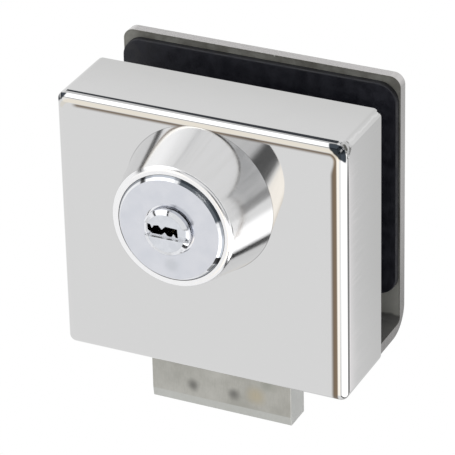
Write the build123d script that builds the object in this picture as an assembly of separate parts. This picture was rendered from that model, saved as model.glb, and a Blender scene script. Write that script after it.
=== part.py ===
from build123d import *
import os
from math import acos, cos, pi, radians, sin, sqrt, tan

# Clamp-on lock for a frameless glass cabinet door.
# Lengths are millimetres, +Z is up and +Y points to the back, into the cabinet.
# The origin lies on the lock cylinder's axis, in the glass plane that the back pad rests on.

# Stack from the glass to the front of the lock
glass_thickness = 10.0
pad_thickness = 1.6
jaw_thickness = 2.0
jaw_gap = 0.3
lid_thickness = 2.6
case_gap = 0.3
cover_wall = 1.0

# Cover: folded sheet, open at the back
cover_width = 75.0
cover_back_setback = 0.3
cover_bend_radius = 2.0
axis_height = 47.56
collar_top_margin = 1.94
cover_notch_length = 1.9
cover_notch_height = 2.2

# Back plate: an angle whose flange carries the case
plate_thickness = 3.0
plate_side_inset = 0.675
plate_rise = 1.96
plate_corner_radius = 2.8
plate_outer_bend = 7.0
plate_inner_bend = 1.5
plate_edge_radius = 0.25
flange_front_gap = 1.2
flange_step_gap = 0.4

# Back pad
pad_side_margin = 0.4
pad_top_margin = 1.65
pad_bottom_margin = 6.21
pad_corner_radius = 5.0
pad_edge_radius = 0.35

# Jaw plate and its pad, inside the cover
jaw_side_gap = 0.4
jaw_corner_radius = 2.0

# Case and lid
case_side_gap = 1.1
case_top_gap = 1.3
case_cheek = 16.5
case_edge_radius = 1.0
case_web = 1.45
pocket_wall = 2.6
pocket_height = 24.0
pocket_depth = 8.7
pocket_corner_radius = 2.0

# Escutcheon: the conical collar round the cylinder
cone_wall = 1.69
cone_flare = 3.74
cone_height = 15.1
cone_rim_radius = 1.2
spigot_wall = 1.23
spigot_clearance = 0.1
nut_width = 2.2
nut_thickness = 2.0
nut_slot_width = 2.5
nut_slot_depth = 1.1
nut_slot_count = 4
nut_room = 0.4

# Cylinder body
cylinder_radius = 13.67
cylinder_groove = 0.1
nose_height = 1.1
nose_bevel = 0.87
cylinder_embed = 6.3
cylinder_edge_chamfer = 0.5
plug_mouth_radius = 6.45
plug_mouth_depth = 2.0

# Plug
plug_radius = 6.0
plug_stand_out = 2.0
plug_bevel = 0.4
plug_collar_radius = 6.38
plug_collar_width = 1.0
face_channel_depth = 1.05
face_channel_top = 1.9
face_channel_bottom = 1.45
keyway_length = 7.9
keyway_height = 2.45
keyway_offset = -1.25
keyway_depth = 21.4
tail_radius = 3.0
tail_flat = 2.3
tail_recess = 0.2

# Keyway outline: shares of its half length and half height, left to right and back
keyway_shares = [
    (-1.00, 1.00), (-0.98, -0.30), (-0.69, -0.95), (-0.07, -0.95), (0.14, -0.28), (0.31, -0.93),
    (0.57, -1.00), (0.72, -0.26), (0.86, -0.95), (1.00, -0.95), (0.96, 0.90), (0.18, 1.00),
    (-0.06, 0.20), (-0.28, 1.00), (-0.58, 0.80), (-0.70, 0.14), (-0.80, 0.94),
]

# Pins of the plug, in chambers above it
pin_count = 5
first_pin_depth = 4.7
pin_screw_gap = 0.7
pin_radius = 1.2
pin_tip_chamfer = 0.5
key_lift = 0.2
driver_length = 3.5
pin_cap_recess = 0.32
pin_spring_wall = 0.3
pin_cap_thickness = 1.0

# Retaining ring behind the cylinder
clip_thickness = 0.8
clip_gap = 0.2
clip_width = 2.15
clip_groove_depth = 0.8
clip_opening_angle = 70.0
clip_room = 0.6

# Pinion and rack
gear_module = 1.0
tooth_count = 10
pressure_angle = 20.0
pinion_addendum = 0.9
rack_addendum = 0.55
tooth_root_clearance = 0.25
tooth_backlash = 0.15
pinion_screw_gap = 0.9
turn_angle = 180.0
washer_radius = 4.0
washer_thickness = 0.7

# Deadbolt
bolt_thickness = 7.65
bolt_reach = 16.1
bolt_arm_rise = 3.2
bolt_clearance = 0.05
bolt_front_gap = 0.1
bolt_back_gap = 0.15
window_side_gap = 0.6
window_end_gap = 0.75
bolt_bridge = 1.6
bolt_lip_height = 2.5
bolt_lip_setback = 0.35
bolt_edge_radius = 0.25
bolt_slot_gap = 0.2

# Stop pin and the ball that drags on the bolt
stop_pin_radius = 1.5
stop_pin_seat = 4.2
ball_radius = 1.5
ball_groove_depth = 0.8
ball_drop = 10.5
drag_spring_length = 6.0
drag_spring_wall = 0.4
drag_screw_radius = 2.0
drag_screw_recess = 0.5

# Screws: thread radius, head radius, length and key size
m3_radius = 1.5
m3_head_radius = 2.75
m3_key = 2.0
m3_socket_depth = 1.1
m4_radius = 2.0
m4_head_radius = 3.75
m4_key = 2.5
m4_socket_depth = 1.5
m6_radius = 3.0
m6_key = 3.0
m6_socket_depth = 3.5
clamp_screw_length = 14.0
clamp_screw_inset = 8.2
clamp_screw_end_inset = 10.5
clamp_screw_lower_rise = 13.0
clamp_screw_tip = 0.8
flange_screw_length = 10.0
flange_screw_land = 1.6
flange_screw_edge = 0.6
flange_screw_spread = 7.8
cover_screw_length = 3.9
cover_screw_offset = 6.0
lid_screw_length = 8.0
lid_screw_inset = 4.4
lid_screw_end_inset = 5.0
pinion_screw_length = 7.0
pinion_head_height = 1.6
cylinder_screw_setback = 1.7
cylinder_screw_bite = 0.9
cylinder_screw_recess = 0.6

# Clearances and the overrun of every cut
fit_clearance = 0.03
pin_clearance = 0.05
hole_clearance = 0.2
head_recess = 0.05
overrun = 2.0

# Places along Y
jaw_pad_front = -glass_thickness - pad_thickness
jaw_front = jaw_pad_front - jaw_thickness
lid_back = jaw_front - jaw_gap
case_back = lid_back - lid_thickness
bolt_back = case_back - bolt_back_gap
bolt_front = bolt_back - bolt_thickness
channel_front = bolt_front - bolt_front_gap
bore_back = channel_front - case_web
cylinder_back = bore_back - pin_clearance
case_front = cylinder_back - cylinder_embed
cover_inner_front = case_front - case_gap
cover_front = cover_inner_front - cover_wall
cover_back = jaw_pad_front - cover_back_setback
flange_front = cover_inner_front + flange_front_gap
plate_front = pad_thickness
plate_back = plate_front + plate_thickness
cone_front = cover_front - cone_height
nose_front = cone_front - nose_height
plug_front = nose_front - plug_stand_out
clip_front = cylinder_back + clip_gap
clip_back = clip_front + clip_thickness
plug_shoulder = channel_front - hole_clearance
washer_back = case_back - pinion_screw_gap - pinion_head_height
pinion_back = washer_back - washer_thickness
tail_back = pinion_back - tail_recess
pinion_screw_front = washer_back - pinion_screw_length

# Radii and heights that follow the cylinder
collar_bore = cylinder_radius + cylinder_groove
spigot_radius = collar_bore + spigot_wall
cone_front_radius = collar_bore + cone_wall
cone_base_radius = cone_front_radius + cone_flare
driver_foot = plug_radius + pin_clearance
driver_top = driver_foot + driver_length
pin_cap_top = cylinder_radius - pin_cap_recess
pin_cap_foot = pin_cap_top - pin_cap_thickness

# Places along Z
cover_bottom = -axis_height
cover_top = cone_base_radius + collar_top_margin
flange_bottom = cover_bottom + cover_wall
flange_top = flange_bottom + plate_thickness
plate_top = cover_top + plate_rise
pad_top = plate_top - pad_top_margin
pad_bottom = flange_top + plate_inner_bend + pad_bottom_margin
case_top = cover_top - cover_wall - case_top_gap
jaw_top = cover_top - cover_wall - jaw_side_gap
bolt_bottom = cover_bottom - bolt_reach

# Half widths
cover_side = cover_width / 2
plate_side = cover_side - plate_side_inset
flange_side = cover_side - cover_bend_radius
pad_side = plate_side - pad_side_margin
case_side = cover_side - cover_wall - case_side_gap
jaw_side = cover_side - cover_wall - jaw_side_gap
channel_side = case_side - case_cheek
bolt_side = channel_side - bolt_clearance
slot_side = channel_side + bolt_slot_gap

# Gear sizes
pitch_radius = gear_module * tooth_count / 2
tip_radius = pitch_radius + pinion_addendum
root_radius = pitch_radius - rack_addendum - tooth_root_clearance
base_radius = pitch_radius * cos(radians(pressure_angle))
rack_pitch = pi * gear_module
bolt_travel = pitch_radius * radians(turn_angle)
rack_tip = pitch_radius - rack_addendum
rack_root = pitch_radius + pinion_addendum + tooth_root_clearance
window_bottom = -bolt_travel - tip_radius - window_end_gap
stop_slot_radius = stop_pin_radius + pin_clearance
stop_pin_height = window_bottom - bolt_bridge - stop_slot_radius

# Places of the screws, the pins and the drag ball
clamp_screw_side = case_side - clamp_screw_inset
clamp_screw_heights = [flange_top + clamp_screw_lower_rise, case_top - clamp_screw_end_inset]
flange_screw_side = slot_side + flange_screw_land + m4_head_radius
flange_screw_front = flange_front + flange_screw_edge + m4_head_radius
cover_screw_side = flange_screw_side + cover_screw_offset
lid_screw_side = case_side - lid_screw_inset
lid_screw_heights = [flange_top + lid_screw_end_inset, case_top - lid_screw_end_inset]
cylinder_screw_place = cylinder_back - cylinder_screw_setback
first_pin_place = nose_front + first_pin_depth
last_pin_place = cylinder_screw_place - m3_radius - pin_screw_gap - pin_radius
pin_pitch = (last_pin_place - first_pin_place) / (pin_count - 1)
ball_groove_radius = ball_radius + pin_clearance
ball_place = bolt_side - ball_groove_depth + ball_groove_radius
ball_middle = (bolt_front + bolt_back) / 2
drag_step = ball_place + ball_radius + drag_spring_length
sides = [-1, 1]


def block(x0, x1, y0, y1, z0, z1):
    """Box between two corners."""
    box = Box(x1 - x0, y1 - y0, z1 - z0)
    return Pos((x0 + x1) / 2, (y0 + y1) / 2, (z0 + z1) / 2) * box


def bar_x(y, z, radius, x0, x1):
    """Round bar along X."""
    return Pos((x0 + x1) / 2, y, z) * Rot(0, 90, 0) * Cylinder(radius, x1 - x0)


def bar_y(x, z, radius, y0, y1):
    """Round bar along Y."""
    return Pos(x, (y0 + y1) / 2, z) * Rot(90, 0, 0) * Cylinder(radius, y1 - y0)


def bar_z(x, y, radius, z0, z1):
    """Round bar along Z."""
    return Pos(x, y, (z0 + z1) / 2) * Cylinder(radius, z1 - z0)


def slab_y(sketch, y0, y1):
    """Flat outline drawn in X and Z, made thick from y0 to y1."""
    return extrude(Plane.XZ.offset(-y1) * sketch, amount=y1 - y0)


def turned(points):
    """Solid of revolution about the cylinder axis, from (radius, y) points."""
    return revolve(make_face(Polyline(*points, close=True)), axis=Axis.Y)


def rounded_plate(side, z0, z1, corner, y0, y1):
    """Plate with rounded corners, from -side to side."""
    outline = Pos(0, (z0 + z1) / 2) * RectangleRounded(2 * side, z1 - z0, corner)
    return slab_y(outline, y0, y1)


def cover_box(side, y0, y1, z0, z1, radius):
    """Box rounded along its front edges and its four corners."""
    box = block(-side, side, y0, y1, z0, z1)
    front_edges = box.faces().sort_by(Axis.Y)[0].edges()
    corner_edges = box.edges().filter_by(Axis.Y)
    return fillet(front_edges + corner_edges, radius)


def notch_cutter(length, reach, height):
    """Cutter that rounds off the corner of a sheet: a block less a quarter of an ellipse."""
    square = Pos(length / 2, height / 2) * Rectangle(length, height)
    round_off = Ellipse(length, height)
    return extrude(square - round_off, amount=reach)


def socket(across, depth):
    """Hexagon socket that opens downwards at Z zero and runs up."""
    return extrude(RegularPolygon(across / 2, 6, major_radius=False), amount=depth)


def countersunk_screw(radius, head_radius, length, key, socket_depth):
    """Screw that points up, with its head's flat face at Z zero."""
    head_height = head_radius - radius
    head = Pos(0, 0, head_height / 2) * Cone(head_radius, radius, head_height)
    shank = Pos(0, 0, length / 2) * Cylinder(radius - fit_clearance, length)
    tip = (head + shank).edges().filter_by(GeomType.CIRCLE).sort_by(Axis.Z)[-1]
    return chamfer(tip, radius / 4) - socket(key, socket_depth)


def countersunk_hole(radius, head_radius, length):
    """Cutter for a screw that points up, with its mouth at Z zero and an overrun below it."""
    head_height = head_radius - radius
    cone = Pos(0, 0, head_height / 2) * Cone(head_radius, radius, head_height)
    shank = Pos(0, 0, length / 2) * Cylinder(radius, length)
    mouth = Pos(0, 0, -overrun / 2) * Cylinder(head_radius, overrun)
    return cone + shank + mouth


def grub_screw(radius, length, key, socket_depth, tip):
    """Headless screw that points up, with its socket at Z zero."""
    body = Pos(0, 0, length / 2) * Cylinder(radius - fit_clearance, length)
    end = body.edges().filter_by(GeomType.CIRCLE).sort_by(Axis.Z)[-1]
    return chamfer(end, tip) - socket(key, socket_depth)


def tube(radius, wall, length):
    """Closed coil spring, stood for by its tube, up from Z zero."""
    return Pos(0, 0, length / 2) * (Cylinder(radius, length) - Cylinder(radius - wall, length))


def pin_places():
    """Y of each pin chamber, from the front."""
    return [first_pin_place + n * pin_pitch for n in range(pin_count)]


def clamp_places():
    return [(side * clamp_screw_side, z) for side in sides for z in clamp_screw_heights]


def lid_places():
    return [(side * lid_screw_side, z) for side in sides for z in lid_screw_heights]


def flange_places():
    rows = [flange_screw_front, flange_screw_front + flange_screw_spread]
    return [(side * flange_screw_side, y) for side in sides for y in rows]


def cover_screw_places():
    return [(side * cover_screw_side, flange_screw_front + flange_screw_spread / 2) for side in sides]


def bolt_slot(z0, z1):
    """Cutter for the bolt's slot in a sheet from z0 to z1."""
    front = bolt_front - bolt_slot_gap
    back = bolt_back + bolt_slot_gap
    return block(-slot_side, slot_side, front, back, z0 - overrun, z1 + overrun)


def mirror_x(shape, side):
    """The shape, or its mirror image on the other side."""
    return shape if side > 0 else mirror(shape, about=Plane.YZ)


def group(solids):
    """Separate solids of one node."""
    return Compound(children=solids)


def make_front_cover():
    outer = cover_box(cover_side, cover_front, cover_back, cover_bottom, cover_top, cover_bend_radius)
    inner = cover_box(
        cover_side - cover_wall,
        cover_inner_front,
        cover_back + overrun,
        flange_bottom,
        cover_top - cover_wall,
        cover_bend_radius - cover_wall,
    )
    cover = outer - inner
    spigot_hole = spigot_radius + spigot_clearance
    cover -= bar_y(0, 0, spigot_hole, cover_front - overrun, cover_inner_front + overrun)
    cover -= bolt_slot(cover_bottom, flange_bottom)
    for x, y in cover_screw_places():
        hole = countersunk_hole(m3_radius, m3_head_radius, cover_screw_length)
        cover -= Pos(x, y, cover_bottom + head_recess) * hole
    # Each seam ends in a notch: the two sheets round off where they meet at the back
    sheet_cut = notch_cutter(cover_notch_length, cover_wall + overrun, cover_notch_length)
    side_cut = Plane.YZ * notch_cutter(cover_notch_length, cover_wall + overrun, cover_notch_height)
    corner_y = cover_back - cover_notch_length
    for side in sides:
        for z, end in [(cover_top, 1), (cover_bottom, -1)]:
            sheet_z = z - cover_wall if end > 0 else z - overrun
            cut = Pos(cover_side - cover_notch_length, corner_y, sheet_z) * sheet_cut
            cover -= mirror_x(cut, side)
            cut = side_cut if end > 0 else mirror(side_cut, about=Plane.XY)
            cut = Pos(cover_side - cover_wall, corner_y, z - end * cover_notch_height) * cut
            cover -= mirror_x(cut, side)
    return cover


def make_back_plate():
    outline = Polyline(
        (plate_front, plate_top),
        (plate_front, flange_top),
        (flange_front, flange_top),
        (flange_front, flange_bottom),
        (plate_back, flange_bottom),
        (plate_back, plate_top),
        close=True,
    )
    section = make_face(outline)
    inner = section.vertices().sort_by_distance((plate_front, flange_top))[0]
    section = fillet(inner, plate_inner_bend)
    outer = section.vertices().sort_by_distance((plate_back, flange_bottom))[0]
    section = fillet(outer, plate_outer_bend)
    plate = extrude(Plane.YZ * section, amount=plate_side, both=True)
    plate = fillet(plate.edges().filter_by(Axis.Y).sort_by(Axis.Z)[-2:], plate_corner_radius)
    back_edges = plate.faces().sort_by(Axis.Y)[-1].edges()
    plate = fillet(back_edges, plate_edge_radius)
    # The flange steps in where it enters the cover, clear of the cover's bends
    step_back = cover_back + flange_step_gap
    for side in sides:
        x0, x1 = sorted([side * flange_side, side * (plate_side + overrun)])
        z0, z1 = flange_bottom - overrun, flange_top + overrun
        plate -= block(x0, x1, flange_front - overrun, step_back, z0, z1)
    plate -= bolt_slot(flange_bottom, flange_top)
    for x, y in flange_places():
        hole = countersunk_hole(m4_radius, m4_head_radius, plate_thickness + overrun)
        plate -= Pos(x, y, flange_bottom + head_recess) * hole
    for x, y in cover_screw_places():
        hole = countersunk_hole(m3_radius, m3_head_radius, plate_thickness + overrun)
        plate -= Pos(x, y, cover_bottom + head_recess) * hole
    return plate


def make_back_pad():
    pad = rounded_plate(pad_side, pad_bottom, pad_top, pad_corner_radius, 0, pad_thickness)
    return fillet(pad.faces().sort_by(Axis.Y)[0].edges(), pad_edge_radius)


def make_jaw_plate():
    return rounded_plate(jaw_side, flange_top, jaw_top, jaw_corner_radius, jaw_front, jaw_pad_front)


def make_jaw_pad():
    pad = rounded_plate(jaw_side, flange_top, jaw_top, jaw_corner_radius, jaw_pad_front, -glass_thickness)
    return fillet(pad.faces().sort_by(Axis.Y)[-1].edges(), pad_edge_radius)


def make_lock_case():
    case = block(-case_side, case_side, case_front, case_back, flange_top, case_top)
    case = fillet(case.edges().filter_by(Axis.Y), case_edge_radius)
    # Round rooms on the cylinder axis: ring nut, cylinder, retaining ring
    spigot_room = spigot_radius + nut_width + nut_room
    nut_back = cover_inner_front + nut_thickness + nut_room
    case -= bar_y(0, 0, spigot_room, case_front - overrun, nut_back)
    case -= bar_y(0, 0, cylinder_radius + pin_clearance, case_front - overrun, bore_back)
    clip_hole = plug_radius - clip_groove_depth + clip_width + clip_room
    case -= bar_y(0, 0, clip_hole, case_front, channel_front + overrun)
    # Channel that guides the bolt, closed by the lid
    case -= block(
        -channel_side,
        channel_side,
        channel_front,
        case_back + overrun,
        flange_top - overrun,
        case_top + overrun,
    )
    for x, z in clamp_places():
        case -= bar_y(x, z, m6_radius, case_front - overrun, case_back + overrun)
    for x, z in lid_places():
        case -= bar_y(x, z, m3_radius, lid_back - lid_screw_length - hole_clearance, case_back + overrun)
    for x, y in flange_places():
        depth = flange_bottom + flange_screw_length + hole_clearance
        case -= bar_z(x, y, m4_radius, flange_top - overrun, depth)
    screw_foot = cylinder_radius - cylinder_screw_bite
    case -= bar_z(0, cylinder_screw_place, m3_radius, screw_foot, case_top + overrun)
    pin_front = channel_front - stop_pin_seat
    case -= bar_y(0, stop_pin_height, stop_pin_radius, pin_front, channel_front + overrun)
    case -= bar_x(ball_middle, -ball_drop, ball_groove_radius, channel_side - overrun, case_side)
    case -= bar_x(ball_middle, -ball_drop, drag_screw_radius, drag_step, case_side + overrun)
    # Casting pockets beside the cylinder, open to the front
    pocket_inner = channel_side + pocket_wall
    pocket_outer = case_side - pocket_wall
    middle = (clamp_screw_heights[0] + clamp_screw_heights[1]) / 2
    outline = RectangleRounded(pocket_outer - pocket_inner, pocket_height, pocket_corner_radius)
    for side in sides:
        x = side * (pocket_inner + pocket_outer) / 2
        case -= slab_y(Pos(x, middle) * outline, case_front - overrun, case_front + pocket_depth)
    return case


def make_case_lid():
    lid = rounded_plate(case_side, flange_top, case_top, case_edge_radius, case_back, lid_back)
    for x, z in clamp_places():
        lid -= bar_y(x, z, m6_radius + hole_clearance, case_back - overrun, lid_back + overrun)
    for x, z in lid_places():
        hole = countersunk_hole(m3_radius, m3_head_radius, lid_thickness + overrun)
        lid -= Pos(x, lid_back - head_recess, z) * Rot(90, 0, 0) * hole
    return lid


def make_escutcheon():
    spigot_back = cover_inner_front + nut_thickness
    outline = Polyline(
        (collar_bore, cone_front),
        (cone_front_radius, cone_front),
        (cone_base_radius, cover_front),
        (spigot_radius, cover_front),
        (spigot_radius, spigot_back),
        (collar_bore, spigot_back),
        close=True,
    )
    section = make_face(outline)
    rim = section.vertices().sort_by_distance((cone_front_radius, cone_front))[0]
    return revolve(fillet(rim, cone_rim_radius), axis=Axis.Y)


def make_escutcheon_nut():
    inner = spigot_radius + fit_clearance
    outer = spigot_radius + nut_width
    nut_back = cover_inner_front + nut_thickness
    ring = Circle(outer) - Circle(inner)
    nut = slab_y(ring, cover_inner_front, nut_back)
    cut = block(
        outer - nut_slot_depth,
        outer + overrun,
        cover_inner_front - overrun,
        nut_back + overrun,
        -nut_slot_width / 2,
        nut_slot_width / 2,
    )
    for n in range(nut_slot_count):
        nut -= Rot(0, 360 * n / nut_slot_count, 0) * cut
    return nut


def make_cylinder_body():
    mouth_back = nose_front + plug_mouth_depth
    bore = plug_radius + fit_clearance
    body = turned([
        (plug_mouth_radius, nose_front),
        (cylinder_radius - nose_bevel, nose_front),
        (cylinder_radius, cone_front),
        (cylinder_radius, cylinder_back - cylinder_edge_chamfer),
        (cylinder_radius - cylinder_edge_chamfer, cylinder_back),
        (bore, cylinder_back),
        (bore, mouth_back),
        (plug_mouth_radius, mouth_back),
    ])
    for y in pin_places():
        body -= bar_z(0, y, pin_radius + pin_clearance, 0, cylinder_radius + overrun)
    screw_foot = cylinder_radius - cylinder_screw_bite - hole_clearance
    body -= bar_z(0, cylinder_screw_place, m3_radius, screw_foot, cylinder_radius + overrun)
    return body


def make_plug():
    mouth_back = nose_front + plug_mouth_depth
    groove = plug_radius - clip_groove_depth
    plug = turned([
        (0, plug_front),
        (plug_radius - plug_bevel, plug_front),
        (plug_radius, plug_front + plug_bevel),
        (plug_radius, mouth_back - plug_collar_width),
        (plug_collar_radius, mouth_back - plug_collar_width),
        (plug_collar_radius, mouth_back),
        (plug_radius, mouth_back),
        (plug_radius, clip_front),
        (groove, clip_front),
        (groove, clip_back),
        (plug_radius, clip_back),
        (plug_radius, plug_shoulder),
        (0, plug_shoulder),
    ])
    tail = Circle(tail_radius) & Rectangle(2 * tail_radius, 2 * tail_flat)
    plug += slab_y(tail, plug_shoulder, tail_back)
    # Channel across the face, with the keyway in its floor
    floor = plug_front + face_channel_depth
    reach = plug_radius + overrun
    plug -= block(-reach, reach, plug_front - overrun, floor, -face_channel_bottom, face_channel_top)
    points = [
        (keyway_offset + share_x * keyway_length / 2, share_z * keyway_height / 2)
        for share_x, share_z in keyway_shares
    ]
    keyway = make_face(Polyline(*points, close=True))
    plug -= slab_y(keyway, plug_front - overrun, plug_front + keyway_depth)
    for y in pin_places():
        plug -= bar_z(0, y, pin_radius + pin_clearance, 0, plug_radius + overrun)
    screw_hole_front = pinion_screw_front - hole_clearance
    plug -= bar_y(0, 0, m3_radius, screw_hole_front, tail_back + overrun)
    return plug


def make_key_pins():
    top = sqrt(plug_radius**2 - pin_radius**2) - pin_clearance
    bottom = keyway_height / 2 + key_lift
    pins = []
    for y in pin_places():
        pin = bar_z(0, y, pin_radius, bottom, top)
        tip = pin.edges().filter_by(GeomType.CIRCLE).sort_by(Axis.Z)[0]
        pins.append(chamfer(tip, pin_tip_chamfer))
    return group(pins)


def make_driver_pins():
    return group([bar_z(0, y, pin_radius, driver_foot, driver_top) for y in pin_places()])


def make_pin_springs():
    spring = tube(pin_radius, pin_spring_wall, pin_cap_foot - driver_top)
    return group([Pos(0, y, driver_top) * spring for y in pin_places()])


def make_pin_caps():
    radius = pin_radius + pin_clearance - fit_clearance
    return group([bar_z(0, y, radius, pin_cap_foot, pin_cap_top) for y in pin_places()])


def make_plug_clip():
    inner = plug_radius - clip_groove_depth + fit_clearance
    ring = Circle(inner + clip_width) - Circle(inner)
    half = radians(clip_opening_angle / 2)
    reach = inner + clip_width + overrun
    gap = Polyline((0, 0), (-reach * tan(half), -reach), (reach * tan(half), -reach), close=True)
    return slab_y(ring - make_face(gap), clip_front + fit_clearance, clip_back - fit_clearance)


def flank_angle(radius):
    """Half the angle that a pinion tooth spans at this radius, from the involute of the base circle."""
    thickness = rack_pitch / 2 - tooth_backlash
    at_pitch = radians(pressure_angle)
    here = acos(min(1, base_radius / radius))
    return thickness / 2 / pitch_radius + tan(at_pitch) - at_pitch - (tan(here) - here)


def polar(radius, angle):
    return (radius * cos(angle), radius * sin(angle))


def make_drive_pinion():
    steps = 4
    radii = [base_radius + (tip_radius - base_radius) * n / steps for n in range(steps + 1)]
    root_angle = flank_angle(base_radius)
    edges = []
    for n in range(tooth_count):
        middle = 2 * pi * n / tooth_count
        after = middle + 2 * pi / tooth_count
        rising = [polar(r, middle - flank_angle(r)) for r in radii]
        falling = [polar(r, middle + flank_angle(r)) for r in reversed(radii)]
        edges.append(Line(polar(root_radius, middle - root_angle), rising[0]))
        edges.append(Spline(*rising))
        edges.append(ThreePointArc(rising[-1], polar(tip_radius, middle), falling[0]))
        edges.append(Spline(*falling))
        edges.append(Line(falling[-1], polar(root_radius, middle + root_angle)))
        valley = (middle + after) / 2
        start = polar(root_radius, middle + root_angle)
        end = polar(root_radius, after - root_angle)
        edges.append(ThreePointArc(start, polar(root_radius, valley), end))
    wheel = make_face(edges)
    bore = Circle(tail_radius + fit_clearance) & Rectangle(4 * tail_radius, 2 * (tail_flat + fit_clearance))
    return slab_y(wheel - bore, plug_shoulder, pinion_back)


def make_pinion_washer():
    ring = Circle(washer_radius) - Circle(m3_radius + pin_clearance)
    return slab_y(ring, pinion_back, washer_back)


def make_pinion_screw():
    head = bar_y(0, 0, m3_head_radius, washer_back, washer_back + pinion_head_height)
    shank = bar_y(0, 0, m3_radius - fit_clearance, pinion_screw_front, washer_back)
    key = Pos(0, washer_back + pinion_head_height, 0) * Rot(90, 0, 0) * socket(m3_key, m3_socket_depth)
    return head + shank - key


def make_deadbolt():
    bolt = block(-bolt_side, bolt_side, bolt_front, bolt_back, bolt_bottom, bolt_arm_rise)
    # Lip along the front of the tip, and a small round on the tip's other edges
    lip = Polyline(
        (bolt_front, bolt_bottom + bolt_lip_height),
        (bolt_front + bolt_lip_setback, bolt_bottom),
        (bolt_front, bolt_bottom),
        close=True,
    )
    bolt -= extrude(Plane.YZ * make_face(lip), amount=bolt_side + overrun, both=True)
    bolt = fillet(bolt.faces().sort_by(Axis.Z)[0].edges(), bolt_edge_radius)
    # Fork round the pinion: its right side is the rack
    tip_space = rack_pitch / 2 + 2 * rack_addendum * tan(radians(pressure_angle))
    root_space = rack_pitch / 2 - 2 * (rack_root - pitch_radius) * tan(radians(pressure_angle))
    window_side = -tip_radius - window_side_gap
    above = bolt_arm_rise + rack_pitch + overrun
    last_space = int((-window_bottom - tip_space / 2) / rack_pitch)
    points = [(window_side, above), (window_side, window_bottom), (rack_tip, window_bottom)]
    for n in range(last_space, -2, -1):
        middle = -n * rack_pitch
        points.append((rack_tip, middle - tip_space / 2))
        points.append((rack_root, middle - root_space / 2))
        points.append((rack_root, middle + root_space / 2))
        points.append((rack_tip, middle + tip_space / 2))
    points.append((rack_tip, above))
    window = make_face(Polyline(*points, close=True))
    bolt -= slab_y(window, bolt_front - overrun, bolt_back + overrun)
    # Slot that runs on the stop pin, and groove for the drag ball
    slot = Pos(0, stop_pin_height - bolt_travel / 2) * Rot(0, 0, 90) * SlotCenterToCenter(
        bolt_travel, 2 * stop_slot_radius
    )
    bolt -= slab_y(slot, bolt_front - overrun, bolt_back + overrun)
    groove_end = ball_radius + hole_clearance
    groove_top = -ball_drop + groove_end
    groove_foot = -ball_drop - bolt_travel - groove_end
    bolt -= bar_z(ball_place, ball_middle, ball_groove_radius, groove_foot, groove_top)
    return bolt


def make_stop_pin():
    front = channel_front - stop_pin_seat
    return bar_y(0, stop_pin_height, stop_pin_radius - fit_clearance, front, case_back - pin_clearance)


def make_drag_ball():
    return Pos(ball_place, ball_middle, -ball_drop) * Sphere(ball_radius)


def make_drag_spring():
    spring = tube(ball_radius, drag_spring_wall, drag_spring_length)
    return Pos(ball_place + ball_radius, ball_middle, -ball_drop) * Rot(0, 90, 0) * spring


def make_drag_screw():
    outer = case_side - drag_screw_recess
    screw = grub_screw(drag_screw_radius, outer - drag_step, m3_key, m4_socket_depth, pin_tip_chamfer)
    return Pos(outer, ball_middle, -ball_drop) * Rot(0, -90, 0) * screw


def make_clamp_screws():
    screw = grub_screw(m6_radius, clamp_screw_length, m6_key, m6_socket_depth, clamp_screw_tip)
    start = jaw_front - clamp_screw_length
    return group([Pos(x, start, z) * Rot(-90, 0, 0) * screw for x, z in clamp_places()])


def make_flange_screws():
    screw = countersunk_screw(m4_radius, m4_head_radius, flange_screw_length, m4_key, m4_socket_depth)
    return group([Pos(x, y, flange_bottom + head_recess) * screw for x, y in flange_places()])


def make_cover_screws():
    screw = countersunk_screw(m3_radius, m3_head_radius, cover_screw_length, m3_key, m3_socket_depth)
    return group([Pos(x, y, cover_bottom + head_recess) * screw for x, y in cover_screw_places()])


def make_lid_screws():
    screw = countersunk_screw(m3_radius, m3_head_radius, lid_screw_length, m3_key, m3_socket_depth)
    return group([Pos(x, lid_back - head_recess, z) * Rot(90, 0, 0) * screw for x, z in lid_places()])


def make_cylinder_screw():
    top = case_top - cylinder_screw_recess
    foot = cylinder_radius - cylinder_screw_bite
    screw = grub_screw(m3_radius, top - foot, m3_key, m3_socket_depth, pin_tip_chamfer)
    return Pos(0, cylinder_screw_place, top) * Rot(180, 0, 0) * screw


nodes = {
    "front_cover": make_front_cover,
    "back_plate": make_back_plate,
    "back_pad": make_back_pad,
    "jaw_plate": make_jaw_plate,
    "jaw_pad": make_jaw_pad,
    "lock_case": make_lock_case,
    "case_lid": make_case_lid,
    "escutcheon": make_escutcheon,
    "escutcheon_nut": make_escutcheon_nut,
    "cylinder_body": make_cylinder_body,
    "plug": make_plug,
    "key_pins": make_key_pins,
    "driver_pins": make_driver_pins,
    "pin_springs": make_pin_springs,
    "pin_caps": make_pin_caps,
    "plug_clip": make_plug_clip,
    "drive_pinion": make_drive_pinion,
    "pinion_washer": make_pinion_washer,
    "pinion_screw": make_pinion_screw,
    "deadbolt": make_deadbolt,
    "stop_pin": make_stop_pin,
    "drag_ball": make_drag_ball,
    "drag_spring": make_drag_spring,
    "drag_screw": make_drag_screw,
    "clamp_screws": make_clamp_screws,
    "flange_screws": make_flange_screws,
    "cover_screws": make_cover_screws,
    "lid_screws": make_lid_screws,
    "cylinder_screw": make_cylinder_screw,
}

os.makedirs("parts", exist_ok=True)
for name, make in nodes.items():
    export_step(make(), os.path.join("parts", name + ".step"))
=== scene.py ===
import bpy
import numpy as np
from mathutils import Matrix, Vector


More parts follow.
